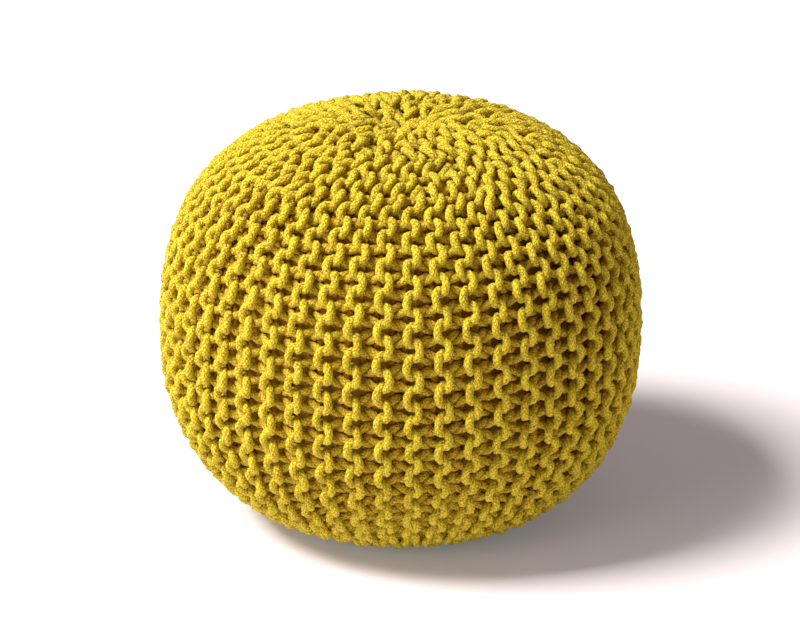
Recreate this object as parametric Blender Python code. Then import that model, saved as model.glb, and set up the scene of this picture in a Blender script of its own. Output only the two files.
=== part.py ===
"""Round knitted pouf, a filled cushion in a garter-stitch cover, in metres with +Z up.

The cover is knitted sideways, so its ribs run from the crown to the middle of the underside.
Short rows end most ribs before the poles, where the cover is drawn together.
The origin lies on the floor, under the middle of the pouf.
"""

import math

import bmesh
import bpy

# Outer form, over the tops of the ribs
WIDEST_RADIUS = 0.250
HEIGHT = 0.4235
WIDEST_HEIGHT = 0.185
FLOOR_RADIUS = 0.106
CROWN_FULLNESS = 2.64
BASE_FULLNESS = 2.03
PROFILE_STEPS = 400

# Ribs of the knitting: two points on each flat top and one in each groove, a ring to each stitch
RIB_COUNT = 52
POINTS_PER_RIB = 3
RIB_DEPTH = 0.009
RIB_SQUARENESS = 1.9
STITCH_PITCH = 0.0297

# Short rows: outside the first radius every rib is there, inside the second only one in four
ALL_RIBS_RADIUS = 0.118
FEW_RIBS_RADIUS = 0.058
SHORT_ROW_FADE = 0.016

# The drawn-in crown and the pressed underside
GATHER_RADIUS = 0.060
GATHER_DEPTH = 0.010
PRESSED_FADE = 0.024

# Unevenness of the filling: waves round the pouf, the share of the radius that each moves,
# the azimuth of its bulge in degrees, and the height at which it is strongest
LUMPS = (
    {"waves": 1, "share": 0.0060, "azimuth": 200.0, "height": 0.16},
    {"waves": 2, "share": 0.0045, "azimuth": 35.0, "height": 0.12},
    {"waves": 3, "share": 0.0040, "azimuth": 75.0, "height": 0.24},
    {"waves": 5, "share": 0.0022, "azimuth": 10.0, "height": 0.20},
)
LUMP_REACH = 0.16

MUSTARD = (0.66, 0.46, 0.035, 1.0)
COTTON_ROUGHNESS = 0.92
SHARP_EDGE = math.radians(60)


def smooth_step(value, low, high):
    """0 below low, 1 above high, and an even blend between them."""
    share = min(1.0, max(0.0, (value - low) / (high - low)))
    return share * share * (3 - 2 * share)


def quarter_curve(fullness):
    """Cosine-like and sine-like shares of a rounded quarter, squarer for a larger fullness."""
    for step in range(PROFILE_STEPS + 1):
        turn = math.pi / 2 * step / PROFILE_STEPS
        yield max(0.0, math.cos(turn)) ** (2 / fullness), math.sin(turn) ** (2 / fullness)


def profile_points():
    """The half outline from the crown, over the widest ring, to the middle of the underside."""
    crown = [
        (WIDEST_RADIUS * across, WIDEST_HEIGHT + (HEIGHT - WIDEST_HEIGHT) * up)
        for across, up in quarter_curve(CROWN_FULLNESS)
    ]
    base = [
        (FLOOR_RADIUS + (WIDEST_RADIUS - FLOOR_RADIUS) * across, WIDEST_HEIGHT * (1 - down))
        for across, down in quarter_curve(BASE_FULLNESS)
    ]
    return crown[::-1] + base[1:] + [(0.0, 0.0)]


def even_stations(points, pitch):
    """Radius, height and outward normal at even steps along the outline, each close to the pitch."""
    runs = [0.0]
    for (r0, z0), (r1, z1) in zip(points, points[1:]):
        runs.append(runs[-1] + math.hypot(r1 - r0, z1 - z0))
    count = round(runs[-1] / pitch)
    stations = []
    piece = 0
    for step in range(count + 1):
        run = runs[-1] * step / count
        while piece < len(points) - 2 and runs[piece + 1] < run:
            piece += 1
        (r0, z0), (r1, z1) = points[piece], points[piece + 1]
        length = runs[piece + 1] - runs[piece]
        share = (run - runs[piece]) / length
        normal = (-(z1 - z0) / length, (r1 - r0) / length)
        stations.append((r0 + (r1 - r0) * share, z0 + (z1 - z0) * share, normal))
    return stations


def rib_profile(azimuth, ribs):
    """Height across one rib, from 0 in its groove to 1 on its flat top."""
    first_rib = math.pi / (RIB_COUNT * POINTS_PER_RIB)
    height = (1 + RIB_SQUARENESS * math.cos(ribs * (azimuth - first_rib))) / 2
    return min(1.0, max(0.0, height))


def groove_depth(azimuth, radius):
    """Depth below the ribs' tops. Short rows end every second rib, and then every second of the rest."""
    every = smooth_step(radius, ALL_RIBS_RADIUS - SHORT_ROW_FADE, ALL_RIBS_RADIUS + SHORT_ROW_FADE)
    half = smooth_step(radius, FEW_RIBS_RADIUS - SHORT_ROW_FADE, FEW_RIBS_RADIUS + SHORT_ROW_FADE)
    inner = rib_profile(azimuth, RIB_COUNT // 4) * (1 - half)
    inner += rib_profile(azimuth, RIB_COUNT // 2) * half
    height = inner * (1 - every) + rib_profile(azimuth, RIB_COUNT) * every
    return RIB_DEPTH * (1 - height) * smooth_step(radius, 0.0, ALL_RIBS_RADIUS)


def lump_share(azimuth, height):
    """Share of the radius that the uneven filling adds or takes."""
    total = 0.0
    for lump in LUMPS:
        wave = math.cos(lump["waves"] * (azimuth - math.radians(lump["azimuth"])))
        fade = math.exp(-(((height - lump["height"]) / LUMP_REACH) ** 2))
        total += lump["share"] * wave * fade
    return total * smooth_step(height, 0.0, WIDEST_HEIGHT / 2)


def surface_point(azimuth, station):
    """A point of the knitted surface, with its rib, the drawn-in crown and the flat underside."""
    radius, height, (normal_out, normal_up) = station
    groove = groove_depth(azimuth, radius) * smooth_step(height, 0.0, PRESSED_FADE)
    gather = 0.0
    if height > WIDEST_HEIGHT:
        gather = GATHER_DEPTH * (1 - smooth_step(radius, 0.0, GATHER_RADIUS))
    out = (radius - groove * normal_out) * (1 + lump_share(azimuth, height))
    up = max(0.0, height - groove * normal_up - gather)
    return out * math.cos(azimuth), out * math.sin(azimuth), up


def cotton_cord():
    """Matt mustard-yellow cotton."""
    material = bpy.data.materials.new("cotton_cord")
    material.diffuse_color = MUSTARD
    material.use_nodes = True
    shader = material.node_tree.nodes["Principled BSDF"]
    shader.inputs["Base Color"].default_value = MUSTARD
    shader.inputs["Roughness"].default_value = COTTON_ROUGHNESS
    shader.inputs["Metallic"].default_value = 0.0
    return material


def raise_surface(shape, stations):
    """Moves the points of a unit sphere onto the pouf: each of its rings takes one station."""
    for vertex in shape.verts:
        turn = math.acos(min(1.0, max(-1.0, vertex.co.z)))
        station = stations[round(turn / math.pi * (len(stations) - 1))]
        azimuth = math.atan2(vertex.co.y, vertex.co.x)
        vertex.co = surface_point(azimuth, station)


def centre_over_origin(shape):
    """Puts the middle of the pouf's box over the origin."""
    for axis in (0, 1):
        places = [vertex.co[axis] for vertex in shape.verts]
        middle = (min(places) + max(places)) / 2
        for vertex in shape.verts:
            vertex.co[axis] -= middle


def knitted_pouf(collection):
    """The filled cover, one closed solid with its ribs raised."""
    stations = even_stations(profile_points(), STITCH_PITCH)
    shape = bmesh.new()
    bmesh.ops.create_uvsphere(
        shape,
        u_segments=RIB_COUNT * POINTS_PER_RIB,
        v_segments=len(stations) - 1,
        radius=1.0,
    )
    raise_surface(shape, stations)
    centre_over_origin(shape)
    bmesh.ops.triangulate(shape, faces=shape.faces)
    bmesh.ops.recalc_face_normals(shape, faces=shape.faces)
    mesh = bpy.data.meshes.new("knitted_pouf")
    shape.to_mesh(mesh)
    shape.free()
    mesh.shade_smooth()
    mesh.set_sharp_from_angle(angle=SHARP_EDGE)
    mesh.materials.append(cotton_cord())
    pouf = bpy.data.objects.new("knitted_pouf", mesh)
    collection.objects.link(pouf)


def main():
    for old in list(bpy.data.objects):
        bpy.data.objects.remove(old)
    collection = bpy.data.collections.new("round_pouf")
    bpy.context.scene.collection.children.link(collection)
    knitted_pouf(collection)


main()
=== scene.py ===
"""Looks of a round knitted pouf: garter stitch in thick mustard cotton cord over a filled inner cushion.

The cover is knitted sideways, so its rows run from the crown to the middle of the underside.
Two rows make a rib: the loops' heads of one row and the sinkers of the next stand out in turn.
"""

import math

import bpy
import numpy as np
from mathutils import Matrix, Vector


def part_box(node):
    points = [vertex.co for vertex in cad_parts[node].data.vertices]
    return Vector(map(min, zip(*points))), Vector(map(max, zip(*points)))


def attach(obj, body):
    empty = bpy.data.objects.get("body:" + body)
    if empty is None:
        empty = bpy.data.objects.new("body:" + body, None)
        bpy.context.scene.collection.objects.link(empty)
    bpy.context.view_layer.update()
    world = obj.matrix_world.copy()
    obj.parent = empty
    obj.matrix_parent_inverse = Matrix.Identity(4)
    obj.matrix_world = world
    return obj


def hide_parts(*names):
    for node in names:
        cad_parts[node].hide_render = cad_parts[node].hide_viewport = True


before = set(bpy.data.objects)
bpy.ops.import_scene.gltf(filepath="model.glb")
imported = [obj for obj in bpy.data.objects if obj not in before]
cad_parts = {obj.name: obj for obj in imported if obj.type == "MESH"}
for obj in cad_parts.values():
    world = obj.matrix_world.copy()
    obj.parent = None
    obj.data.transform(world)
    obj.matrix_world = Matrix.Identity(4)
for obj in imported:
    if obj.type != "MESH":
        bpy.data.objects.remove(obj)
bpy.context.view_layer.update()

bl_info = {
    "name": "Knitted pouf",
    "version": (1, 0, 0),
    "blender": (4, 5, 0),
    "location": "3D View > Sidebar > Pouf",
    "description": "Makes the knitted cover, inner cushion and studio of a round pouf",
    "category": "Add Mesh",
}

NODE = "knitted_pouf"
LOW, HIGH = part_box(NODE)

# Outer form over the tops of the ribs, sized by the solid. Its curve goes a little over the solid's top,
# where the crown is then drawn in. Fullness tells how square a rounded quarter of the outline is.
WIDEST_RADIUS = (HIGH.x - LOW.x + HIGH.y - LOW.y) / 4
CROWN_OVER_RIM = 0.001
HEIGHT = HIGH.z + CROWN_OVER_RIM
WIDEST_HEIGHT = 0.437 * HEIGHT
FLOOR_RADIUS = 0.424 * WIDEST_RADIUS
CROWN_FULLNESS = 2.64
BASE_FULLNESS = 2.03
QUARTER_STEPS = 600
OUTLINE_STEP = 0.0005
BOX_STEPS = 180
SMALLEST_RADIUS = 0.001

# Ribs of the knitting, and the points of their cords
RIB_COUNT = 52
RIBS_IN_WEDGE = 4
FIRST_RIB = math.radians(2.4)
SEGMENTS_IN_STITCH = 22
SEGMENTS_IN_TURN = 14
CURVE_STEPS = 12
CORD_SIDES = 8
NORMAL_STEP = 0.001

# The cord's thickness in shares of its size. It grows to whole from the legs outwards between two lifts,
# counted in half depths, and from the crown's middle out to the crown's radius.
LEG_THICKNESS = 0.94
LEG_LIFTS = (-0.3, 0.7)
TURN_THICKNESS = 0.95
CROWN_THICKNESS = 0.90
CROWN_RADIUS = 0.10

# Unevenness: how far points of the cord's surface lie in or out, the shares by which a loop's reach and
# its lift vary, and how often the sway of the rows is smoothed
STRAND_BUMP = 0.00044
REACH_VARIES = 0.05
LIFT_VARIES = 0.06
SWAY_SMOOTHING = 6

# Short rows: every second rib ends between the first radii, then every second of the rest, and so on.
# Their ends are scattered between these radii. A rib narrows to nothing over twice the fade, which is
# never longer than a share of its end's radius.
SHORT_ROWS = (
    {"every": 2, "outer": 0.161, "inner": 0.081},
    {"every": 4, "outer": 0.081, "inner": 0.040},
    {"every": 8, "outer": 0.040, "inner": 0.020},
)
SHORT_ROW_FADE = 0.016
LONGEST_FADE = 0.4
SHORT_ROW_SCATTER = 0.618

# A rib ends where its rows would run closer than the first, and its loops overlap by at least the second
CLOSEST_ROWS = 0.0038
TIGHT_OVERLAP = 0.0045

# The drawn-in crown, and how the ends of the ribs lie: at the poles they stop short in two steps and dive
# under each other in three levels, and a short row's end dives a little
GATHER_RADIUS = 0.060
GATHER_DEPTH = 0.010
POLE_RUN = 0.004
POLE_STAGGER = 0.007
POLE_DIVE = 0.005
POLE_LEVELS = 3
POLE_DIVE_START = 0.35
SHORT_END_DIVE = 0.003
SHORT_END_DIVE_END = 0.8

# Half of a loop that stands out from the row, and half of one that lies at the back, from the middle
# of the leg to the loop's top: along the row in pitches from the loop's middle, across it in reaches,
# and depth in shares of the fabric's half depth
OUTER_LOOP = (
    {"along": -0.26, "across": 0.00, "depth": -0.12},
    {"along": -0.30, "across": 0.28, "depth": -0.06},
    {"along": -0.305, "across": 0.56, "depth": 0.24},
    {"along": -0.22, "across": 0.86, "depth": 0.82},
    {"along": 0.00, "across": 1.00, "depth": 1.00},
)
INNER_LOOP = (
    {"along": -0.24, "across": 0.00, "depth": 0.12},
    {"along": -0.33, "across": 0.42, "depth": 0.36},
    {"along": -0.39, "across": 0.76, "depth": 0.76},
    {"along": -0.25, "across": 0.96, "depth": 1.00},
    {"along": 0.00, "across": 1.02, "depth": 1.00},
)
LOOP_REACH = 0.0127

# The turn that joins a rib's two rows: along in pitches, across in row spacings, and depth
ROW_TURN = (
    {"along": 0.25, "across": -0.50, "depth": 0.00},
    {"along": 0.40, "across": -0.74, "depth": 0.10},
    {"along": 0.60, "across": -0.62, "depth": 0.45},
    {"along": 0.72, "across": -0.15, "depth": 0.70},
    {"along": 0.62, "across": 0.25, "depth": 0.45},
    {"along": 0.42, "across": 0.28, "depth": 0.10},
    {"along": 0.25, "across": 0.50, "depth": 0.00},
)
TURN_SPACING = 0.0145
STITCH_END = 0.25

# Unevenness of the filling, as in the solid
LUMPS = (
    {"waves": 1, "share": 0.0060, "azimuth": 200.0, "height": 0.16},
    {"waves": 2, "share": 0.0045, "azimuth": 35.0, "height": 0.12},
    {"waves": 3, "share": 0.0040, "azimuth": 75.0, "height": 0.24},
    {"waves": 5, "share": 0.0022, "azimuth": 10.0, "height": 0.20},
)
LUMP_REACH = 0.16

# Unfolding of the cords for a painted texture: a grid of cells, one for each stretch of a stitch's length
MAP_COLUMNS = 8
MAP_MARGIN = 0.06

# Braided cord: strands round it, the length in which one passes the next, and the plies in a strand
STRANDS = 6
STRAND_RUN = 0.0042
PLIES = 3
STRAND_EDGE = 0.65

# Noises of the cord by their features in a metre: the bend of the strands, the fibres and the dye
WARP_SCALE = 260.0
WARP_SHARE = 1.2
FIBRE_SCALE = 580.0
FIBRE_DETAIL = 3.0
DYE_SCALE = 90.0
NOISE_MIDDLE = 0.5

# What makes the cord's surface higher, and what makes it lighter. The strand and ply ridges are lighter and
# the
# grooves between them darker: painted shade. Fibres and dye vary the tone at random.
HEIGHT_SHARES = {"strand": 0.9, "fibres": 0.8, "plies": 0.15}
LIGHT_SHARES = {"strand": 1.1, "fibres": 2.2, "plies": 0.3, "dye": 1.2}
LIGHT_BASE = 0.04
# Painted shade on the cord deep at the back of the ribs: the deeper it lies, the more it takes the deep,
# browner colour
DEEP_SHADE_FADE = 1.8
CORD_BUMP = {"Strength": 0.9, "Distance": 0.0015}
CORD_ROUGHNESS = 0.9
CORD_SPECULAR = 0.15
CORD_SHEEN = 0.03
SHEEN_ROUGHNESS = 0.5

# Inner cloth
CLOTH_DARK = 0.7
CLOTH_PATCHES = 40.0
CLOTH_THREADS = 1500.0
CLOTH_BUMP = 0.0004
CLOTH_SPECULAR = 0.1

# Inner cushion. Its start is counted inwards from the back of the knitting: below 0 it presses into it.
CUSHION_RINGS = 60
CUSHION_SIDES = 120
CUSHION_START = -0.003
CUSHION_VOXEL = 0.007
CUSHION_PRESSURE = 4.0
CUSHION_SWELL = 0.005
CUSHION_FRAMES = 20
SHORTEST_MOVE = 1e-9

# Camera of the photograph: its distance from the middle of the widest ring, and its frame
CAMERA_DISTANCE = 2.89
CAMERA_ELEVATION = math.radians(22.35)
FRAME_WIDTH = 800
FOCAL_PIXELS = 2780
RING_MIDDLE_RIGHT = 0.9
RING_MIDDLE_BELOW = 11.3
SENSOR = 36.0
CLIP_START = 0.05

# Studio: lights by azimuth from the camera, 90 at its right, and elevation, in degrees
LIGHTS = (
    {"name": "key_light", "azimuth": -76, "elevation": 52, "distance": 8.0, "size": 3.0, "power": 1370},
    {"name": "fill_light", "azimuth": -48, "elevation": 20, "distance": 6.0, "size": 2.5, "power": 68},
)
SKY_STRENGTH = 0.18
SKY_COLOUR = (1.0, 0.70, 0.80, 1.0)
FLOOR_HALF = 12.0
FLOOR_ROUGHNESS = 0.8
FLOOR_GLOW = 0.09
GLOW_COLOUR = (0.80, 0.97, 1.0, 1.0)
PICTURE_GAMMA = 1.20


class PoufKnitting(bpy.types.PropertyGroup):
    """Sizes of the cord and its stitches."""

    cord: bpy.props.FloatProperty(
        name="Cord", description="Diameter of the cotton cord", default=0.0081, unit="LENGTH"
    )
    pitch: bpy.props.FloatProperty(
        name="Pitch", description="From one stitch of a row to the next", default=0.0297, unit="LENGTH"
    )
    half_depth: bpy.props.FloatProperty(
        name="Half depth",
        description="From the fabric's middle to the cord's middle at the top of a loop",
        default=0.0078,
        unit="LENGTH",
    )
    reach: bpy.props.FloatProperty(
        name="Reach",
        description="How far a loop stands out from its row, in row spacings",
        default=0.89,
        subtype="FACTOR",
    )
    least_overlap: bpy.props.FloatProperty(
        name="Least overlap",
        description="How far the loops of neighbouring rows pass each other where they have room",
        default=0.0105,
        unit="LENGTH",
    )
    unevenness: bpy.props.FloatProperty(
        name="Unevenness", description="Drift of the stitches along their rows", default=0.0014, unit="LENGTH"
    )
    seed: bpy.props.IntProperty(name="Seed", description="Seed of the unevenness", default=7)


class PoufColours(bpy.types.PropertyGroup):
    """Colours of the cord, the inner cloth and the floor."""

    light_cord: bpy.props.FloatVectorProperty(
        name="Light cord", description="Outer strands", default=(0.78, 0.622, 0.016), subtype="COLOR"
    )
    # Painted shade in the grooves between strands and plies, and the darker tone where fibres and dye vary at
    # random
    groove_shade_and_dark_tone: bpy.props.FloatVectorProperty(
        name="Dark cord",
        description="Grooves between strands",
        default=(0.35, 0.150, 0.0010),
        subtype="COLOR",
    )
    # Painted shade: the browner colour of the cord where it lies deep at the back of the ribs
    deep_cord_painted_shade: bpy.props.FloatVectorProperty(
        name="Deep cord",
        description="Cord at the back of the ribs",
        default=(0.40, 0.175, 0.0020),
        subtype="COLOR",
    )
    inner_cloth: bpy.props.FloatVectorProperty(
        name="Inner cloth",
        description="Cloth behind the stitches",
        default=(0.34, 0.175, 0.006),
        subtype="COLOR",
    )
    floor: bpy.props.FloatVectorProperty(
        name="Floor", description="Studio floor", default=(0.83, 0.735, 0.72), subtype="COLOR"
    )


class Socket:
    """An output of a shader node. Arithmetic on it adds Math nodes."""

    def __init__(self, graph, output):
        self.graph = graph
        self.output = output

    def math(self, operation, *values):
        return self.graph.node("ShaderNodeMath", {"operation": operation}, dict(enumerate(values)))

    def __add__(self, other):
        return self.math("ADD", self, other)

    __radd__ = __add__

    def __sub__(self, other):
        return self.math("SUBTRACT", self, other)

    def __rsub__(self, other):
        return self.math("SUBTRACT", other, self)

    def __mul__(self, other):
        return self.math("MULTIPLY", self, other)

    __rmul__ = __mul__

    def __truediv__(self, other):
        return self.math("DIVIDE", self, other)

    def __rtruediv__(self, other):
        return self.math("DIVIDE", other, self)

    def __mod__(self, other):
        return self.math("FLOORED_MODULO", self, other)

    def __rmod__(self, other):
        return self.math("FLOORED_MODULO", other, self)

    def floor(self):
        return self.math("FLOOR", self)

    def fract(self):
        return self.math("FRACT", self)

    def sine(self):
        return self.math("SINE", self)


class Graph:
    """The node tree of one material."""

    def __init__(self, name):
        self.material = bpy.data.materials.new(name)
        self.material.use_nodes = True
        self.tree = self.material.node_tree
        self.shader = self.tree.nodes["Principled BSDF"]

    def node(self, kind, settings=None, inputs=None, output=0):
        """Adds a node: its settings are set first, then its sockets' values or links."""
        made = self.tree.nodes.new(kind)
        for name, value in (settings or {}).items():
            setattr(made, name, value)
        for name, value in (inputs or {}).items():
            self.feed(made.inputs[name], value)
        return Socket(self, made.outputs[output])

    def feed(self, target, value):
        if isinstance(value, Socket):
            self.tree.links.new(value.output, target)
        else:
            target.default_value = value

    def parts(self, vector):
        """The X, Y and Z of a vector."""
        split = self.node("ShaderNodeSeparateXYZ", inputs={"Vector": vector})
        return [Socket(self, output) for output in split.output.node.outputs]

    def noise(self, place, scale, detail=2.0):
        """Cloudy noise, whose features are about one metre over the scale."""
        return self.node("ShaderNodeTexNoise", inputs={"Vector": place, "Scale": scale, "Detail": detail})

    def blend(self, share, first, second):
        """Mix of two colours. The node's sockets for colours are inputs 6 and 7 and output 2."""
        inputs = {"Factor": share, 6: first, 7: second}
        return self.node("ShaderNodeMix", {"data_type": "RGBA"}, inputs, output=2)

    def finish(self, **inputs):
        """Feeds the Principled shader and gives the material."""
        for name, value in inputs.items():
            self.feed(self.shader.inputs[name.replace("_", " ")], value)
        return self.material


def smooth_step(value, low, high):
    """0 below low, 1 above high, and an even blend between them."""
    share = np.clip((value - low) / (high - low), 0.0, 1.0)
    return share * share * (3 - 2 * share)


def smooth_curve(points, closing=None):
    """Catmull-Rom curve through the points. With a closing step it goes on to the first point moved by it."""
    points = np.asarray(points, float)
    if closing is None:
        before = 2 * points[:1] - points[1:2]
        after = 2 * points[-1:] - points[-2:-1]
        points = np.vstack([before, points, after])
    else:
        closing = np.asarray(closing, float)
        points = np.vstack([points[-1:] - closing, points, points[:2] + closing])
    a, b, c, d = points[:-3, None], points[1:-2, None], points[2:-1, None], points[3:, None]
    t = (np.arange(CURVE_STEPS) / CURVE_STEPS)[None, :, None]
    curve = b + t * (c - a) / 2 + t**2 * (a - 2.5 * b + 2 * c - d / 2) + t**3 * (1.5 * (b - c) + (d - a) / 2)
    return np.vstack([curve.reshape(-1, points.shape[1]), points[-2:-1]])


def even_points(curve, scale, count):
    """The curve read at even steps of its real length. scale turns its numbers into metres."""
    steps = np.linalg.norm(np.diff(curve * scale, axis=0), axis=1)
    runs = np.concatenate([[0.0], np.cumsum(steps)])
    wanted = np.linspace(0.0, runs[-1], count + 1)
    return np.stack([np.interp(wanted, runs, column) for column in curve.T], axis=1)


def table_points(table):
    """The along, across and depth of a table's rows."""
    return np.array([[row["along"], row["across"], row["depth"]] for row in table])


def whole_loop(half):
    """A loop from the half of it, mirrored along the row."""
    return np.vstack([half, (half * (-1, 1, 1))[-2::-1]])


def stitch_curve(head, sinker, scale):
    """One stitch: its head, and the sinker that leads to the next stitch and points the other way."""
    head = whole_loop(head)
    sinker = whole_loop(sinker) * (1, -1, -1) + (0.5, 0.0, 0.0)
    curve = smooth_curve(np.vstack([head[:-1], sinker[:-1]]), closing=(1.0, 0.0, 0.0))
    return even_points(curve, scale, SEGMENTS_IN_STITCH)


class Form:
    """The outer form of the pouf, read by the run from the crown's middle over the rib tops."""

    def __init__(self):
        turn = np.linspace(0.0, math.pi / 2, QUARTER_STEPS)
        cosine = np.cos(turn).clip(0.0)
        sine = np.sin(turn)
        crown_radius = WIDEST_RADIUS * cosine ** (2 / CROWN_FULLNESS)
        crown_height = WIDEST_HEIGHT + (HEIGHT - WIDEST_HEIGHT) * sine ** (2 / CROWN_FULLNESS)
        base_radius = FLOOR_RADIUS + (WIDEST_RADIUS - FLOOR_RADIUS) * cosine ** (2 / BASE_FULLNESS)
        base_height = WIDEST_HEIGHT * (1 - sine ** (2 / BASE_FULLNESS))
        radius = np.concatenate([crown_radius[::-1], base_radius[1:], [0.0]])
        height = np.concatenate([crown_height[::-1], base_height[1:], [0.0]])
        runs = np.concatenate([[0.0], np.cumsum(np.hypot(np.diff(radius), np.diff(height)))])
        self.length = runs[-1]
        self.run = np.arange(0.0, self.length, OUTLINE_STEP)
        self.radius = np.interp(self.run, runs, radius)
        self.height = np.interp(self.run, runs, height)
        out = -np.gradient(self.height)
        up = np.gradient(self.radius)
        size = np.hypot(out, up)
        self.out = out / size
        self.up = up / size
        self.shift = np.zeros(3)
        round_it = np.linspace(0.0, 2 * math.pi, BOX_STEPS)
        outer = self.point(self.run[:, None], round_it[None, :], 0.0).reshape(-1, 3)
        middle = (outer.min(0) + outer.max(0)) / 2
        solid_middle = (np.array(LOW) + np.array(HIGH)) / 2
        self.shift = (solid_middle - middle) * (1, 1, 0)

    def read(self, run):
        return [np.interp(run, self.run, values) for values in (self.radius, self.height, self.out, self.up)]

    def radius_within(self, run, inset):
        """Radius of the surface that lies inset below the rib tops."""
        radius, _, out, _ = self.read(run)
        return np.maximum(radius - inset * out, SMALLEST_RADIUS)

    def point(self, run, azimuth, inset):
        """Point at a run and an azimuth, inset below the rib tops."""
        run, azimuth, inset = np.broadcast_arrays(run, azimuth, inset)
        radius, height, out, up = self.read(run)
        lumps = np.zeros(run.shape)
        for lump in LUMPS:
            wave = np.cos(lump["waves"] * (azimuth - math.radians(lump["azimuth"])))
            lumps += lump["share"] * wave * np.exp(-(((height - lump["height"]) / LUMP_REACH) ** 2))
        lumps *= smooth_step(height, 0.0, WIDEST_HEIGHT / 2)
        gather = GATHER_DEPTH * (1 - smooth_step(radius, 0.0, GATHER_RADIUS)) * (height > WIDEST_HEIGHT)
        reach = (radius - inset * out) * (1 + lumps)
        level = height - inset * up - gather
        return np.stack([reach * np.cos(azimuth), reach * np.sin(azimuth), level], axis=-1) + self.shift


def end_radius(rib):
    """Radius at which a rib's short rows end, or 0 for a rib that reaches the poles."""
    for rows in SHORT_ROWS:
        if rib % rows["every"]:
            place = rib // rows["every"] * SHORT_ROW_SCATTER % 1
            return rows["inner"] + (rows["outer"] - rows["inner"]) * place
    return 0.0


class Knitting:
    """Courses of the cord in the cover."""

    def __init__(self, form, sizes):
        self.form = form
        self.sizes = sizes
        self.inset = sizes.half_depth + sizes.cord / 2
        self.stitches = int(form.length / sizes.pitch)
        self.pitch = form.length / self.stitches
        self.centres = (np.arange(self.stitches) + 0.5) * self.pitch
        outer = table_points(OUTER_LOOP)
        inner = table_points(INNER_LOOP)
        scale = (self.pitch, LOOP_REACH, sizes.half_depth)
        self.loops = {-1: stitch_curve(outer, inner, scale), 1: stitch_curve(inner, outer, scale)}
        turn = smooth_curve(table_points(ROW_TURN))
        self.turn = even_points(turn, (self.pitch, TURN_SPACING, sizes.half_depth), SEGMENTS_IN_TURN)
        self.ends = np.array([end_radius(rib) for rib in range(RIB_COUNT)])
        self.chance = np.random.default_rng(sizes.seed)
        self.drift = self.field()
        self.loose = self.field()
        self.proud = self.field()
        self.sway = self.field(SWAY_SMOOTHING)

    def field(self, smoothing=1):
        """Even noise over ribs and stitches, with about unit size."""
        values = self.chance.normal(size=(2 * RIB_COUNT, self.stitches))
        for _ in range(smoothing):
            values = (np.roll(values, 1, 0) + 2 * values + np.roll(values, -1, 0)) / 4
            padded = np.pad(values, ((0, 0), (1, 1)), mode="edge")
            values = (padded[:, :-2] + 2 * values + padded[:, 2:]) / 4
        return values / values.std()

    def widths(self, radius):
        """Each rib's part of the whole turn: a rib that ends gives its place to the others."""
        fade = np.clip(LONGEST_FADE * self.ends, SMALLEST_RADIUS / 2, SHORT_ROW_FADE)
        kept = smooth_step(radius[:, None], self.ends - fade, self.ends + fade)
        return kept / kept.sum(1, keepdims=True)

    def spacing(self, rib, run):
        """Distance between the two rows of a rib."""
        radius = self.form.radius_within(run, self.inset)
        return radius * math.pi * self.widths(radius)[:, rib]

    def kept(self, rib):
        """The stitches of a rib, which end where its rows would run too close."""
        return np.nonzero(self.spacing(rib, self.centres) >= CLOSEST_ROWS)[0]

    def row(self, rib, side):
        """A row's run, place across its rib, and lift. side is -1 for the row whose heads stand out."""
        kept = self.kept(rib)
        loops = [self.loops[side][:-1] + (stitch, 0.0, 0.0) for stitch in kept]
        last_sinker = SEGMENTS_IN_STITCH // 2 - 1
        course = np.vstack(loops)[:-last_sinker]
        row = 2 * rib + (side > 0)
        at = course[:, 0]
        fields = (self.drift, self.sway, self.loose, self.proud)
        drift, sway, loose, proud = (np.interp(at, np.arange(self.stitches), field[row]) for field in fields)
        run = (at + 0.5) * self.pitch + (drift + sway) * self.sizes.unevenness
        gap = self.spacing(rib, run)
        overlap = np.clip(2 * gap - self.sizes.cord, TIGHT_OVERLAP, self.sizes.least_overlap)
        reach = np.maximum(self.sizes.reach * gap, (gap + overlap) / 2)
        reach *= 1 + REACH_VARIES * loose
        lift = -side * self.sizes.half_depth * course[:, 2]
        thick = LEG_THICKNESS + (1 - LEG_THICKNESS) * smooth_step(lift / self.sizes.half_depth, *LEG_LIFTS)
        radius = self.form.read(run)[0]
        thick *= CROWN_THICKNESS + (1 - CROWN_THICKNESS) * smooth_step(radius, 0.0, CROWN_RADIUS)
        return {
            "run": run,
            "across": side * gap / 2 + reach * course[:, 1],
            "lift": lift * (1 + LIFT_VARIES * proud),
            "thick": thick,
        }

    def row_turn(self, rib, end):
        """The turn at a rib's end: -1 for the crown, 1 for the underside."""
        kept = self.kept(rib)
        last = kept[-1] if end > 0 else kept[0]
        course = self.turn if end > 0 else self.turn[::-1]
        course = course[1:-1]
        centre = (last + 0.5) * self.pitch
        beyond = course[:, 0] - STITCH_END
        lift = self.sizes.half_depth * course[:, 2]
        if self.ends[rib] == 0:
            number = rib // SHORT_ROWS[-1]["every"]
            room = self.form.length - centre if end > 0 else centre
            room -= POLE_RUN + POLE_STAGGER * (number % 2)
            beyond *= (room / self.pitch - STITCH_END) / beyond.max()
            sink = smooth_step(beyond / beyond.max(), POLE_DIVE_START, 1.0)
            lift -= POLE_DIVE * sink * (number % POLE_LEVELS) / (POLE_LEVELS - 1)
        else:
            lift -= SHORT_END_DIVE * smooth_step(beyond / beyond.max(), 0.0, SHORT_END_DIVE_END)
        run = centre + end * (STITCH_END + beyond) * self.pitch
        across = course[:, 1] * self.spacing(rib, run)
        thick = np.full(len(course), TURN_THICKNESS)
        return {"run": run, "across": across, "lift": lift, "thick": thick}

    def rib(self, rib):
        """The closed course of a rib: down its first row, a turn, up its second row and a turn."""
        first = self.row(rib, -1)
        second = {name: values[::-1] for name, values in self.row(rib, 1).items()}
        parts = (first, self.row_turn(rib, 1), second, self.row_turn(rib, -1))
        return {name: np.concatenate([part[name] for part in parts]) for name in first}

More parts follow.
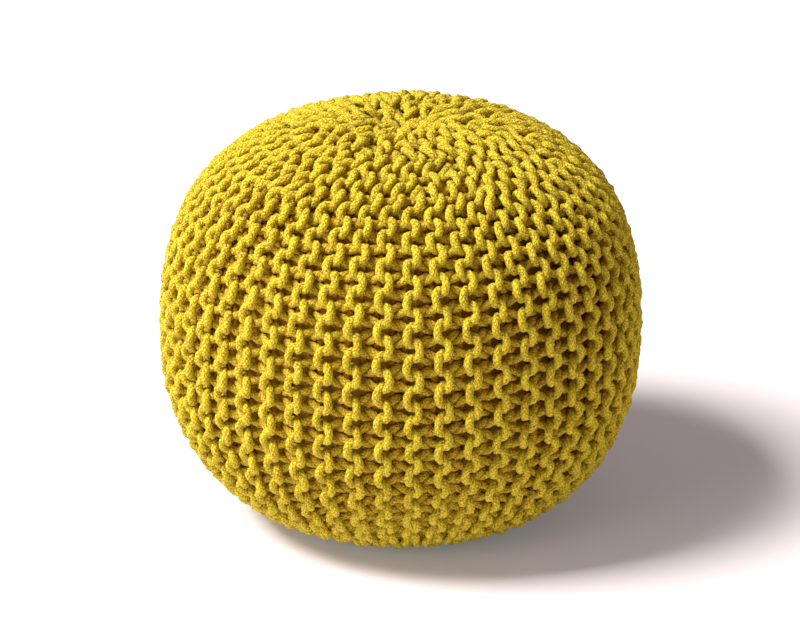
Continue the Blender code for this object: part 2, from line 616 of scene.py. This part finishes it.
    def place(self, rib, course):
        """World points of a course and the fabric's outward direction at each."""
        radius = self.form.radius_within(course["run"], self.inset)
        widths = self.widths(radius)
        turn = widths[:, :rib].sum(1) + (widths[:, rib] - 1 / RIB_COUNT) / 2
        azimuth = FIRST_RIB + 2 * math.pi * turn + course["across"] / radius
        inset = self.inset - course["lift"]
        points = self.form.point(course["run"], azimuth, inset)
        outward = self.form.point(course["run"], azimuth, inset - NORMAL_STEP) - points
        return points, outward / np.linalg.norm(outward, axis=1, keepdims=True)


def cord_tube(points, outward, radius):
    """Rings of points round a closed course. radius has a value for each point of each ring."""
    along = np.roll(points, -1, 0) - np.roll(points, 1, 0)
    along /= np.linalg.norm(along, axis=1, keepdims=True)
    first = outward - (outward * along).sum(1, keepdims=True) * along
    first /= np.linalg.norm(first, axis=1, keepdims=True)
    second = np.cross(along, first)
    turn = np.arange(CORD_SIDES) * 2 * math.pi / CORD_SIDES
    ring = np.cos(turn)[None, :, None] * first[:, None] + np.sin(turn)[None, :, None] * second[:, None]
    return points[:, None] + radius[..., None] * ring


def tube_faces(count, start):
    """Quads between the rings of a closed tube, as point numbers."""
    ring = np.arange(count)[:, None] * CORD_SIDES
    side = np.arange(CORD_SIDES)[None, :]
    next_ring = (ring + CORD_SIDES) % (count * CORD_SIDES)
    next_side = (side + 1) % CORD_SIDES
    corners = (ring + side, next_ring + side, next_ring + next_side, ring + next_side)
    return np.stack(corners, axis=-1).reshape(-1, 4) + start


def quad_corners(low, high, near, far):
    """Map places at the corners of each quad of a tube, from values for its rings and sides."""
    shape = (len(low), CORD_SIDES)
    low, high = (np.broadcast_to(value[:, None], shape) for value in (low, high))
    near, far = (np.broadcast_to(value[None, :], shape) for value in (near, far))
    corners = [(low, near), (high, near), (high, far), (low, far)]
    return np.stack([np.stack(pair, axis=-1) for pair in corners], axis=2).reshape(-1, 2)


def cord_maps(points, depth, first_cell, cells):
    """Maps of a tube: place in the cord, depth in the fabric, and its unfolding into cells of a grid."""
    near = np.arange(CORD_SIDES) / CORD_SIDES
    far = near + 1 / CORD_SIDES
    ends = np.cumsum(np.linalg.norm(np.roll(points, -1, 0) - points, axis=1))
    starts = np.concatenate([[0.0], ends[:-1]])
    depth = (depth + 1) / 2
    ring = np.arange(len(points))
    cell = first_cell + ring // SEGMENTS_IN_STITCH
    share = ring % SEGMENTS_IN_STITCH / SEGMENTS_IN_STITCH
    inside = 1 - 2 * MAP_MARGIN
    unfolded = quad_corners(share, share + 1 / SEGMENTS_IN_STITCH, near, far) * inside + MAP_MARGIN
    place = np.repeat(np.stack([cell % MAP_COLUMNS, cell // MAP_COLUMNS], axis=-1), CORD_SIDES * 4, axis=0)
    rows = math.ceil(cells / MAP_COLUMNS)
    return {
        "cord": quad_corners(starts, ends, near, far),
        "depth": quad_corners(depth, np.roll(depth, -1), near, far),
        "OFBake": (unfolded + place) / (MAP_COLUMNS, rows),
    }


def new_piece(name, points, faces, material):
    """A smooth mesh piece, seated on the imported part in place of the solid."""
    mesh = bpy.data.meshes.new(name)
    mesh.from_pydata(points.tolist(), [], faces)
    mesh.shade_smooth()
    mesh.materials.append(material)
    piece = bpy.data.objects.new(name, mesh)
    bpy.context.scene.collection.objects.link(piece)
    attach(piece, "root")
    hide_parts(NODE)
    return piece


def knit_wedge(knitting, wedge, material):
    """Four ribs of the cover as one mesh."""
    courses = []
    for rib in range(wedge * RIBS_IN_WEDGE, (wedge + 1) * RIBS_IN_WEDGE):
        course = knitting.rib(rib)
        courses.append((course, *knitting.place(rib, course)))
    cells = sum(math.ceil(len(middle) / SEGMENTS_IN_STITCH) for _, middle, _ in courses)
    points, faces, maps = [], [], []
    start = 0
    cell = 0
    for course, middle, outward in courses:
        radius = knitting.sizes.cord / 2 * course["thick"][:, None]
        radius = radius + STRAND_BUMP * knitting.chance.normal(size=(len(middle), CORD_SIDES))
        tube = cord_tube(middle, outward, radius)
        tube[..., 2] = np.maximum(tube[..., 2], 0.0)
        points.append(tube.reshape(-1, 3))
        faces.append(tube_faces(len(middle), start))
        maps.append(cord_maps(middle, course["lift"] / knitting.sizes.half_depth, cell, cells))
        start += len(middle) * CORD_SIDES
        cell += math.ceil(len(middle) / SEGMENTS_IN_STITCH)
    piece = new_piece(f"knit_wedge_{wedge + 1:02d}", np.vstack(points), np.vstack(faces).tolist(), material)
    for name in maps[0]:
        layer = piece.data.uv_layers.new(name=name)
        places = np.vstack([rib_maps[name] for rib_maps in maps])
        layer.data.foreach_set("uv", places.astype(np.float32).ravel())
    return piece


def cotton_cord(colours):
    """Braided cotton cord: crossing strands, fine fibres and uneven dye, with painted shade in the strands'
    grooves and deep between the ribs.
    """
    graph = Graph("cotton_cord")
    spot = graph.node("ShaderNodeTexCoord", output="Object")
    along, around, _ = graph.parts(graph.node("ShaderNodeUVMap", {"uv_map": "cord"}))
    bend = graph.noise(spot, WARP_SCALE) * WARP_SHARE
    first = along / STRAND_RUN + around * STRANDS + bend
    second = along / STRAND_RUN - around * STRANDS + bend
    first_on_top = (first.floor() + second.floor()) % 2
    across_first = (second.fract() * math.pi).sine()
    across_second = (first.fract() * math.pi).sine()
    ridge_first = across_first * (STRAND_EDGE + (1 - STRAND_EDGE) * across_second)
    ridge_second = across_second * (STRAND_EDGE + (1 - STRAND_EDGE) * across_first)
    strand = first_on_top * ridge_first + (1 - first_on_top) * ridge_second
    plies_first = (second * math.tau * PLIES).sine()
    plies_second = (first * math.tau * PLIES).sine()
    layers = {
        "strand": strand,
        "fibres": graph.noise(spot, FIBRE_SCALE, FIBRE_DETAIL) - NOISE_MIDDLE,
        "plies": first_on_top * plies_first + (1 - first_on_top) * plies_second,
        "dye": graph.noise(spot, DYE_SCALE) - NOISE_MIDDLE,
    }
    height = sum(share * layers[name] for name, share in HEIGHT_SHARES.items())
    # Strands and plies are lighter on their ridges and darker in the grooves between them, a painted shade;
    # fibres and dye vary the tone at random
    shade = LIGHT_BASE + sum(share * layers[name] for name, share in LIGHT_SHARES.items())
    outer = graph.blend(shade, (*colours.groove_shade_and_dark_tone, 1.0), (*colours.light_cord, 1.0))
    # Painted shade: the deeper the cord lies in the fabric, the more its colour fades to the deep, browner
    # one
    depth, _, _ = graph.parts(graph.node("ShaderNodeUVMap", {"uv_map": "depth"}))
    colour = graph.blend(depth * DEEP_SHADE_FADE, (*colours.deep_cord_painted_shade, 1.0), outer)
    bump = graph.node("ShaderNodeBump", inputs={**CORD_BUMP, "Height": height})
    return graph.finish(
        Base_Color=colour,
        Roughness=CORD_ROUGHNESS,
        Specular_IOR_Level=CORD_SPECULAR,
        Sheen_Weight=CORD_SHEEN,
        Sheen_Roughness=SHEEN_ROUGHNESS,
        Normal=bump,
    )


class POUF_OT_knitted_cover(bpy.types.Operator):
    """Knits the cover from thick cord, one piece for each wedge of short rows"""

    bl_idname = "pouf.knitted_cover"
    bl_label = "Knitted cover"

    def execute(self, context):
        knitting = Knitting(Form(), context.scene.pouf_knitting)
        material = cotton_cord(context.scene.pouf_colours)
        for wedge in range(RIB_COUNT // RIBS_IN_WEDGE):
            knit_wedge(knitting, wedge, material)
        return {"FINISHED"}


def inner_cloth(colours):
    """Plain woven cloth."""
    graph = Graph("inner_cloth")
    spot = graph.node("ShaderNodeTexCoord", output="Object")
    dark = tuple(CLOTH_DARK * value for value in colours.inner_cloth)
    colour = graph.blend(graph.noise(spot, CLOTH_PATCHES), (*dark, 1.0), (*colours.inner_cloth, 1.0))
    threads = graph.noise(spot, CLOTH_THREADS)
    weave = graph.node("ShaderNodeBump", inputs={"Distance": CLOTH_BUMP, "Height": threads})
    return graph.finish(Base_Color=colour, Roughness=1.0, Specular_IOR_Level=CLOTH_SPECULAR, Normal=weave)


def cushion_shape(form, inset):
    """Points and faces of the cushion's closed form before it swells."""
    runs = np.linspace(0.0, form.length, CUSHION_RINGS + 1)[1:-1]
    azimuths = np.arange(CUSHION_SIDES) * 2 * math.pi / CUSHION_SIDES
    grid = form.point(runs[:, None], azimuths[None, :], inset)
    crown = form.point(np.array([0.0]), 0.0, inset)
    under = form.point(np.array([form.length]), 0.0, inset)
    points = np.vstack([crown, grid.reshape(-1, 3), under])
    faces = []
    last = 1 + (CUSHION_RINGS - 2) * CUSHION_SIDES
    for side in range(CUSHION_SIDES):
        beside = (side + 1) % CUSHION_SIDES
        for ring in range(1, last, CUSHION_SIDES):
            below = ring + CUSHION_SIDES
            faces.append((ring + side, below + side, below + beside, ring + beside))
        faces.append((0, 1 + side, 1 + beside))
        faces.append((len(points) - 1, last + beside, last + side))
    return points, faces


def mesh_points(mesh):
    points = np.empty(len(mesh.vertices) * 3, np.float32)
    mesh.vertices.foreach_get("co", points)
    return points.reshape(-1, 3)


def shaped_mesh(piece):
    """The piece's mesh with its modifiers applied."""
    graph = bpy.context.evaluated_depsgraph_get()
    return bpy.data.meshes.new_from_object(piece.evaluated_get(graph))


def swell(piece):
    """Fills the closed cloth form by simulation. No point moves further than the cushion's swell."""
    remesh = piece.modifiers.new("even_cloth", "REMESH")
    remesh.mode = "VOXEL"
    remesh.voxel_size = CUSHION_VOXEL
    even = shaped_mesh(piece)
    piece.modifiers.clear()
    piece.data = even
    start = mesh_points(even)
    cloth = piece.modifiers.new("filling", "CLOTH")
    cloth.settings.use_pressure = True
    cloth.settings.uniform_pressure_force = CUSHION_PRESSURE
    cloth.settings.effector_weights.gravity = 0.0
    for frame_number in range(1, CUSHION_FRAMES + 1):
        bpy.context.scene.frame_set(frame_number)
    filled = mesh_points(shaped_mesh(piece))
    piece.modifiers.clear()
    moved = filled - start
    length = np.linalg.norm(moved, axis=1, keepdims=True)
    moved *= np.minimum(1.0, CUSHION_SWELL / np.maximum(length, SHORTEST_MOVE))
    even.vertices.foreach_set("co", (start + moved).ravel())
    piece.modifiers.new("smooth_cloth", "SUBSURF").levels = 1
    smooth = shaped_mesh(piece)
    piece.modifiers.clear()
    piece.data = smooth
    smooth.shade_smooth()
    bpy.context.scene.frame_set(1)


class POUF_OT_inner_cushion(bpy.types.Operator):
    """Makes the filled inner cushion that shows in the gaps of the knitting"""

    bl_idname = "pouf.inner_cushion"
    bl_label = "Inner cushion"

    def execute(self, context):
        sizes = context.scene.pouf_knitting
        inset = 2 * sizes.half_depth + sizes.cord + CUSHION_START
        material = inner_cloth(context.scene.pouf_colours)
        piece = new_piece("inner_cushion", *cushion_shape(Form(), inset), material)
        swell(piece)
        return {"FINISHED"}


class POUF_OT_studio(bpy.types.Operator):
    """Makes the pale floor, the soft lights and the camera at the photograph's angle"""

    bl_idname = "pouf.studio"
    bl_label = "Studio"

    def execute(self, context):
        studio_floor(context.scene.pouf_colours)
        for light in LIGHTS:
            studio_light(**light)
        studio_sky()
        photograph_camera()
        return {"FINISHED"}


def studio_floor(colours):
    """A pale, faintly lit floor, as on a light table."""
    corners = [(-1, -1), (1, -1), (1, 1), (-1, 1)]
    mesh = bpy.data.meshes.new("studio_floor")
    mesh.from_pydata([(FLOOR_HALF * x, FLOOR_HALF * y, 0.0) for x, y in corners], [], [(0, 1, 2, 3)])
    floor = bpy.data.objects.new("studio_floor", mesh)
    bpy.context.scene.collection.objects.link(floor)
    graph = Graph("studio_floor")
    material = graph.finish(
        Base_Color=(*colours.floor, 1.0),
        Roughness=FLOOR_ROUGHNESS,
        Emission_Color=GLOW_COLOUR,
        Emission_Strength=FLOOR_GLOW,
    )
    mesh.materials.append(material)


def studio_light(name, azimuth, elevation, distance, size, power):
    """A square soft light that faces the pouf."""
    light = bpy.data.lights.new(name, "AREA")
    light.size = size
    light.energy = power
    lamp = bpy.data.objects.new(name, light)
    turn, rise = math.radians(azimuth), math.radians(elevation)
    away = Vector((math.sin(turn) * math.cos(rise), -math.cos(turn) * math.cos(rise), math.sin(rise)))
    lamp.location = Vector((0.0, 0.0, WIDEST_HEIGHT)) + distance * away
    lamp.rotation_euler = away.to_track_quat("Z", "Y").to_euler()
    bpy.context.scene.collection.objects.link(lamp)


def studio_sky():
    world = bpy.data.worlds.new("studio")
    world.use_nodes = True
    sky = world.node_tree.nodes["Background"]
    sky.inputs["Color"].default_value = SKY_COLOUR
    sky.inputs["Strength"].default_value = SKY_STRENGTH
    bpy.context.scene.world = world
    bpy.context.scene.view_settings.view_transform = "Standard"
    bpy.context.scene.view_settings.gamma = PICTURE_GAMMA


def photograph_camera():
    data = bpy.data.cameras.new("camera")
    data.sensor_width = SENSOR
    data.lens = FOCAL_PIXELS / FRAME_WIDTH * SENSOR
    data.shift_x = -RING_MIDDLE_RIGHT / FRAME_WIDTH
    data.shift_y = RING_MIDDLE_BELOW / FRAME_WIDTH
    data.clip_start = CLIP_START
    camera = bpy.data.objects.new("camera", data)
    away = Vector((0.0, -math.cos(CAMERA_ELEVATION), math.sin(CAMERA_ELEVATION)))
    camera.location = Vector((0.0, 0.0, WIDEST_HEIGHT)) + CAMERA_DISTANCE * away
    camera.rotation_euler = away.to_track_quat("Z", "Y").to_euler()
    bpy.context.scene.collection.objects.link(camera)
    bpy.context.scene.camera = camera


class POUF_PT_panel(bpy.types.Panel):
    """Lists the pouf's sizes and operators"""

    bl_idname = "POUF_PT_panel"
    bl_label = "Knitted pouf"
    bl_space_type = "VIEW_3D"
    bl_region_type = "UI"
    bl_category = "Pouf"

    def draw(self, context):
        for group in (context.scene.pouf_knitting, context.scene.pouf_colours):
            for name in group.__annotations__:
                self.layout.prop(group, name)
        for operator in OPERATORS:
            self.layout.operator(operator.bl_idname)


OPERATORS = (POUF_OT_studio, POUF_OT_knitted_cover, POUF_OT_inner_cushion)
CLASSES = (PoufKnitting, PoufColours, *OPERATORS, POUF_PT_panel)


def register():
    for made in CLASSES:
        bpy.utils.register_class(made)
    bpy.types.Scene.pouf_knitting = bpy.props.PointerProperty(type=PoufKnitting)
    bpy.types.Scene.pouf_colours = bpy.props.PointerProperty(type=PoufColours)


def unregister():
    del bpy.types.Scene.pouf_colours
    del bpy.types.Scene.pouf_knitting
    for made in reversed(CLASSES):
        bpy.utils.unregister_class(made)


def main():
    register()
    bpy.ops.pouf.studio()
    bpy.ops.pouf.knitted_cover()
    bpy.ops.pouf.inner_cushion()


if __name__ == "__main__":
    main()
